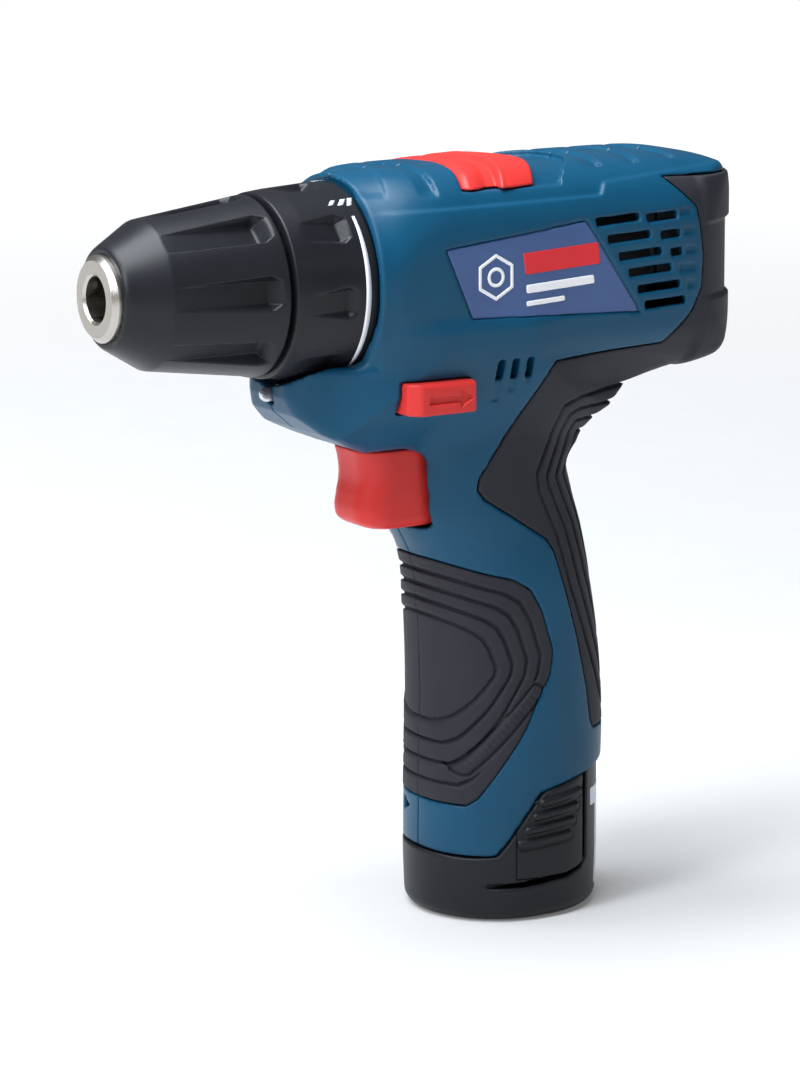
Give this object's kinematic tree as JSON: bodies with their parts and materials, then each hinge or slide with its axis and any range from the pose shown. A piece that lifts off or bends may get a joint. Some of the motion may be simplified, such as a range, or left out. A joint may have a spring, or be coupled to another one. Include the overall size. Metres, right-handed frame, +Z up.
{
  "type": "cordless drill",
  "caption": "Pistol-grip cordless drill driver with keyless chuck, torque collar, gear and direction selectors, sprung trigger and plug-in battery stick.",
  "frame": {"origin": "centre of the flat battery foot, on the surface the drill stands on", "axes": "+Z up the handle, -X towards the chuck nose along the spindle, -Y out of the left-hand side"},
  "size_m": [0.1686, 0.0546, 0.1841],
  "materials": {
    "housing_plastic": "petrol blue, fine satin texture",
    "grip_rubber": "soft black overmould",
    "black_plastic": "black, satin",
    "red_plastic": "red, soft gloss",
    "label_film": "slate violet, printed film",
    "silver_label": "silver film",
    "chuck_steel": "turned",
    "jaw_steel": "hardened, dark",
    "spring_steel": "drawn wire",
    "screw_steel": "black oxide",
    "gear_steel": "sintered",
    "gear_polymer": "natural",
    "case_polymer": "glass filled",
    "can_steel": "zinc plated",
    "magnet": "ferrite",
    "copper": "copper",
    "contact_brass": "plated",
    "carbon": "pressed carbon",
    "cell_wrap": "shrink wrapped",
    "lens": "clear"
  },
  "bodies": {
    "battery": {"battery_case": "black_plastic", "battery_base": "black_plastic", "battery_cells": "cell_wrap", "battery_contacts": "contact_brass", "battery_label": "silver_label"},
    "flap_left": {"release_flap_left": "black_plastic"},
    "flap_right": {"release_flap_right": "black_plastic"},
    "tool": {"housing_left": "housing_plastic", "housing_right": "housing_plastic", "rear_grip_left": "grip_rubber", "rear_grip_right": "grip_rubber", "front_grip_left": "grip_rubber", "front_grip_right": "grip_rubber", "housing_screws": "screw_steel", "label_left": "label_film", "label_right": "label_film", "work_light": "lens", "clutch_spring": "spring_steel", "clutch_pins": "gear_steel", "gearbox_case": "case_polymer", "spindle_bearing": "gear_steel", "ring_gear_3": "gear_steel", "ring_gear_1": "gear_steel", "motor_can": "can_steel", "motor_end_cap": "black_plastic", "motor_magnets": "magnet", "carbon_brushes": "carbon", "trigger_spring": "spring_steel", "switch_body": "black_plastic", "contact_block": "black_plastic"},
    "chuck": {"chuck_body": "chuck_steel", "spindle": "gear_steel"},
    "sleeve": {"chuck_sleeve": "black_plastic", "chuck_nut": "chuck_steel"},
    "jaw_1": {"jaw_1": "jaw_steel"},
    "jaw_2": {"jaw_2": "jaw_steel"},
    "jaw_3": {"jaw_3": "jaw_steel"},
    "collar": {"torque_collar": "black_plastic"},
    "selector": {"gear_selector": "red_plastic"},
    "shift_ring": {"shift_wire": "spring_steel", "ring_gear_2": "gear_steel"},
    "direction": {"direction_selector": "red_plastic"},
    "trigger": {"trigger": "red_plastic"},
    "rotor": {"armature": "gear_steel", "commutator": "copper", "motor_fan": "black_plastic", "pinion": "contact_brass"},
    "carrier_2": {"carrier_2": "gear_steel"},
    "carrier_1": {"carrier_1": "gear_steel"},
    "planet_3a": {"planet_3a": "gear_steel"},
    "planet_3b": {"planet_3b": "gear_steel"},
    "planet_3c": {"planet_3c": "gear_steel"},
    "planet_2a": {"planet_2a": "gear_steel"},
    "planet_2b": {"planet_2b": "gear_steel"},
    "planet_2c": {"planet_2c": "gear_steel"},
    "planet_1a": {"planet_1a": "gear_polymer"},
    "planet_1b": {"planet_1b": "gear_polymer"},
    "planet_1c": {"planet_1c": "gear_polymer"}
  },
  "joints": [
    {"name": "tool_lift", "type": "slide", "parent": "battery", "child": "tool", "axis": [0, 0, 1], "range_m": [0, 0.085]},
    {"name": "motor_spin", "type": "hinge", "parent": "tool", "child": "rotor", "pos_m": [0, 0, 0.1553], "axis": [1, 0, 0], "continuous": true},
    {"name": "carrier_1_spin", "type": "hinge", "parent": "tool", "child": "carrier_1", "pos_m": [0, 0, 0.1553], "axis": [1, 0, 0], "continuous": true},
    {"name": "carrier_2_spin", "type": "hinge", "parent": "tool", "child": "carrier_2", "pos_m": [0, 0, 0.1553], "axis": [1, 0, 0], "continuous": true},
    {"name": "chuck_spin", "type": "hinge", "parent": "tool", "child": "chuck", "pos_m": [0, 0, 0.1553], "axis": [1, 0, 0], "continuous": true},
    {"name": "planet_3a_spin", "type": "hinge", "parent": "chuck", "child": "planet_3a", "pos_m": [0, 0, 0.14622], "axis": [1, 0, 0], "continuous": true},
    {"name": "planet_3b_spin", "type": "hinge", "parent": "chuck", "child": "planet_3b", "pos_m": [0, 0.00786, 0.15984], "axis": [1, 0, 0], "continuous": true},
    {"name": "planet_3c_spin", "type": "hinge", "parent": "chuck", "child": "planet_3c", "pos_m": [0, -0.00786, 0.15984], "axis": [1, 0, 0], "continuous": true},
    {"name": "planet_2a_spin", "type": "hinge", "parent": "carrier_2", "child": "planet_2a", "pos_m": [0, 0, 0.14622], "axis": [1, 0, 0], "continuous": true},
    {"name": "planet_2b_spin", "type": "hinge", "parent": "carrier_2", "child": "planet_2b", "pos_m": [0, 0.00786, 0.15984], "axis": [1, 0, 0], "continuous": true},
    {"name": "planet_2c_spin", "type": "hinge", "parent": "carrier_2", "child": "planet_2c", "pos_m": [0, -0.00786, 0.15984], "axis": [1, 0, 0], "continuous": true},
    {"name": "planet_1a_spin", "type": "hinge", "parent": "carrier_1", "child": "planet_1a", "pos_m": [0, 0, 0.14622], "axis": [1, 0, 0], "continuous": true},
    {"name": "planet_1b_spin", "type": "hinge", "parent": "carrier_1", "child": "planet_1b", "pos_m": [0, 0.00786, 0.15984], "axis": [1, 0, 0], "continuous": true},
    {"name": "planet_1c_spin", "type": "hinge", "parent": "carrier_1", "child": "planet_1c", "pos_m": [0, -0.00786, 0.15984], "axis": [1, 0, 0], "continuous": true},
    {"name": "sleeve_turn", "type": "hinge", "parent": "chuck", "child": "sleeve", "pos_m": [0, 0, 0.1553], "axis": [1, 0, 0], "range_deg": [0, 2160]},
    {"name": "jaw_1_slide", "type": "slide", "parent": "chuck", "child": "jaw_1", "axis": [-0.9636, 0, 0.2672], "range_m": [0, 0.018]},
    {"name": "jaw_2_slide", "type": "slide", "parent": "chuck", "child": "jaw_2", "axis": [-0.9636, -0.2314, -0.1336], "range_m": [0, 0.018]},
    {"name": "jaw_3_slide", "type": "slide", "parent": "chuck", "child": "jaw_3", "axis": [-0.9636, 0.2314, -0.1336], "range_m": [0, 0.018]},
    {"name": "collar_turn", "type": "hinge", "parent": "tool", "child": "collar", "pos_m": [0, 0, 0.1553], "axis": [1, 0, 0], "range_deg": [0, 288]},
    {"name": "gear_shift", "type": "slide", "parent": "tool", "child": "selector", "axis": [1, 0, 0], "range_m": [0, 0.007]},
    {"name": "ring_shift", "type": "slide", "parent": "tool", "child": "shift_ring", "axis": [1, 0, 0], "range_m": [0, 0.0028]},
    {"name": "direction_slide", "type": "slide", "parent": "tool", "child": "direction", "axis": [0, 1, 0], "range_m": [0, 0.0056]},
    {"name": "trigger_pull", "type": "slide", "parent": "tool", "child": "trigger", "axis": [1, 0, 0], "range_m": [0, 0.0065], "stiffness_N_per_m": 900, "springref_m": -0.001, "deforming": ["trigger_spring"]},
    {"name": "flap_left_press", "type": "hinge", "parent": "battery", "child": "flap_left", "pos_m": [-0.0084, -0.0205, 0.0248], "axis": [0, 0, 1], "range_deg": [0, 4], "stiffness_Nm_per_rad": 0.3, "springref_deg": -2.86},
    {"name": "flap_right_press", "type": "hinge", "parent": "battery", "child": "flap_right", "pos_m": [-0.0084, 0.0205, 0.0248], "axis": [0, 0, -1], "range_deg": [0, 4], "stiffness_Nm_per_rad": 0.3, "springref_deg": -2.86}
  ],
  "couplings": [
    {"joint": "carrier_1_spin", "follows": "motor_spin", "ratio": 0.27273},
    {"joint": "carrier_2_spin", "follows": "motor_spin", "ratio": 0.07438},
    {"joint": "chuck_spin", "follows": "motor_spin", "ratio": 0.020286},
    {"joint": "planet_1a_spin", "follows": "motor_spin", "ratio": -0.87273},
    {"joint": "planet_1b_spin", "follows": "motor_spin", "ratio": -0.87273},
    {"joint": "planet_1c_spin", "follows": "motor_spin", "ratio": -0.87273},
    {"joint": "planet_2a_spin", "follows": "motor_spin", "ratio": -0.23802},
    {"joint": "planet_2b_spin", "follows": "motor_spin", "ratio": -0.23802},
    {"joint": "planet_2c_spin", "follows": "motor_spin", "ratio": -0.23802},
    {"joint": "planet_3a_spin", "follows": "motor_spin", "ratio": -0.064914},
    {"joint": "planet_3b_spin", "follows": "motor_spin", "ratio": -0.064914},
    {"joint": "planet_3c_spin", "follows": "motor_spin", "ratio": -0.064914},
    {"joint": "jaw_1_slide", "follows": "sleeve_turn", "m_per_rad": 0.000477},
    {"joint": "jaw_2_slide", "follows": "sleeve_turn", "m_per_rad": 0.000477},
    {"joint": "jaw_3_slide", "follows": "sleeve_turn", "m_per_rad": 0.000477},
    {"joint": "ring_shift", "follows": "gear_shift", "ratio": 0.4}
  ]
}
